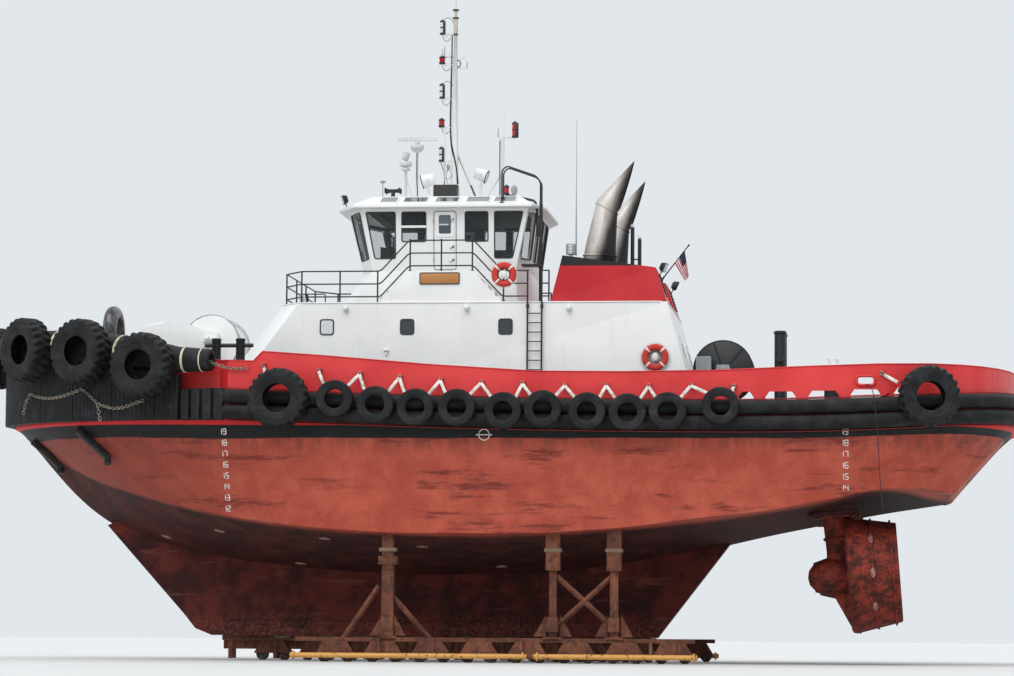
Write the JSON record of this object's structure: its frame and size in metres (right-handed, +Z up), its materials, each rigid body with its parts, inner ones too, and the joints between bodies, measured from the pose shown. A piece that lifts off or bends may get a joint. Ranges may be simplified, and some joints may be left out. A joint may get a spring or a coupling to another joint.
{
  "type": "harbour tugboat",
  "caption": "Harbour tug with azimuth thrusters, tyre and tube fenders, wheelhouse, mast, twin exhausts and winches, standing on a bogie cradle.",
  "frame": {"origin": "on the floor under the middle of the tug's overall box", "axes": "+X along the hull to the bow, +Y to port, +Z up"},
  "size_m": [31.1796, 14.041, 19.7],
  "materials": {
    "hull_paint": "weathered antifouling and red enamel",
    "keel_paint": "dull dark antifouling",
    "red_enamel": "semi-gloss red enamel",
    "white_enamel": "semi-gloss white enamel",
    "fender_rubber": "weathered black rubber",
    "tyre_rubber": "worn black tyre",
    "black_paint": "satin black paint",
    "exhaust_steel": "heat-tinted stainless steel",
    "grey_paint": "satin grey paint",
    "rusty_steel": "rusty brown steel",
    "bronze": "dull bronze",
    "staple_steel": "polished grey steel"
  },
  "bodies": {
    "tug": {"hull": "hull_paint", "skeg": "keel_paint", "bulwark": "red_enamel", "side_fender_upper": "fender_rubber", "side_fender_lower": "fender_rubber", "bow_fender_ribbed": "fender_rubber", "bow_fender_roll": "fender_rubber", "bow_tyre_center": "tyre_rubber", "deckhouse": "white_enamel", "wheelhouse_base": "white_enamel", "wheelhouse_walls": "white_enamel", "wheelhouse_roof": "white_enamel", "wheelhouse_console": "grey_paint", "rails": "black_paint", "roof_ladder": "black_paint", "mast": "white_enamel", "aft_mast": "white_enamel", "radar_post": "white_enamel", "dome_aerial": "white_enamel", "searchlight_port_base": "white_enamel", "searchlight_starboard_base": "white_enamel", "bow_winch_frame": "white_enamel", "tow_staple": "staple_steel", "aft_reel_frame": "grey_paint", "tow_bitt": "black_paint", "mushroom_vent": "grey_paint", "cradle_keel_row": "rusty_steel", "cradle_row_port": "rusty_steel", "cradle_row_starboard": "rusty_steel", "fender_pads_port": "fender_rubber", "side_tyre_fore_port": "tyre_rubber", "side_tyre_aft_port": "tyre_rubber", "tyre_string_port": "tyre_rubber", "funnel_port": "red_enamel", "exhaust_port": "exhaust_steel", "bow_bitts_port": "black_paint", "bow_tyre_1_port": "tyre_rubber", "bow_tyre_2_port": "tyre_rubber", "bow_tyre_3_port": "tyre_rubber", "fender_pads_starboard": "fender_rubber", "side_tyre_fore_starboard": "tyre_rubber", "side_tyre_aft_starboard": "tyre_rubber", "tyre_string_starboard": "tyre_rubber", "funnel_starboard": "red_enamel", "exhaust_starboard": "exhaust_steel", "bow_bitts_starboard": "black_paint", "bow_tyre_1_starboard": "tyre_rubber", "bow_tyre_2_starboard": "tyre_rubber", "bow_tyre_3_starboard": "tyre_rubber"},
    "thruster_port_body": {"thruster_port": "hull_paint"},
    "thruster_starboard_body": {"thruster_starboard": "hull_paint"},
    "propeller_port_body": {"propeller_port": "bronze"},
    "propeller_starboard_body": {"propeller_starboard": "bronze"},
    "radar_scanner_body": {"radar_scanner": "white_enamel"},
    "searchlight_port_body": {"searchlight_port": "white_enamel"},
    "searchlight_starboard_body": {"searchlight_starboard": "white_enamel"},
    "bow_winch_drum_body": {"bow_winch_drum": "white_enamel"},
    "aft_reel_body": {"aft_reel": "black_paint"},
    "wheelhouse_door_port_body": {"wheelhouse_door_port": "white_enamel"},
    "wheelhouse_door_starboard_body": {"wheelhouse_door_starboard": "white_enamel"}
  },
  "joints": [
    {"name": "thruster_port_steering", "type": "hinge", "parent": "tug", "child": "thruster_port_body", "pos_m": [-10.08225, 3.2, 2.5], "axis": [0.075, 0, 0.9972], "continuous": true},
    {"name": "propeller_port_shaft", "type": "hinge", "parent": "thruster_port_body", "child": "propeller_port_body", "pos_m": [-10.64067, 3.2, 2.54199], "axis": [0.9972, 0, -0.075], "continuous": true},
    {"name": "wheelhouse_door_port_hinge", "type": "hinge", "parent": "tug", "child": "wheelhouse_door_port_body", "pos_m": [1.64575, 2.37313, 12.21], "axis": [0, -0.093, -0.9957], "range_deg": [0, 95]},
    {"name": "thruster_starboard_steering", "type": "hinge", "parent": "tug", "child": "thruster_starboard_body", "pos_m": [-10.08225, -3.2, 2.5], "axis": [0.075, 0, 0.9972], "continuous": true},
    {"name": "propeller_starboard_shaft", "type": "hinge", "parent": "thruster_starboard_body", "child": "propeller_starboard_body", "pos_m": [-10.64067, -3.2, 2.54199], "axis": [0.9972, 0, -0.075], "continuous": true},
    {"name": "wheelhouse_door_starboard_hinge", "type": "hinge", "parent": "tug", "child": "wheelhouse_door_starboard_body", "pos_m": [1.64575, -2.37313, 12.21], "axis": [0, -0.093, 0.9957], "range_deg": [0, 95]},
    {"name": "radar_scanner_turn", "type": "hinge", "parent": "tug", "child": "radar_scanner_body", "pos_m": [2.43775, 0.5, 15.28], "axis": [0, 0, 1], "continuous": true},
    {"name": "searchlight_port_pan", "type": "hinge", "parent": "tug", "child": "searchlight_port_body", "pos_m": [2.00775, 1.15, 13.79], "axis": [0, 0, 1], "range_deg": [-170, 170]},
    {"name": "searchlight_starboard_pan", "type": "hinge", "parent": "tug", "child": "searchlight_starboard_body", "pos_m": [0.72275, -1.15, 14.255], "axis": [0, 0, 1], "range_deg": [-170, 170]},
    {"name": "bow_winch_drum_turn", "type": "hinge", "parent": "tug", "child": "bow_winch_drum_body", "pos_m": [8.51775, 0, 9.35], "axis": [0, 1, 0], "continuous": true},
    {"name": "aft_reel_turn", "type": "hinge", "parent": "tug", "child": "aft_reel_body", "pos_m": [-6.67225, 0, 8.54], "axis": [0, 1, 0], "continuous": true}
  ]
}
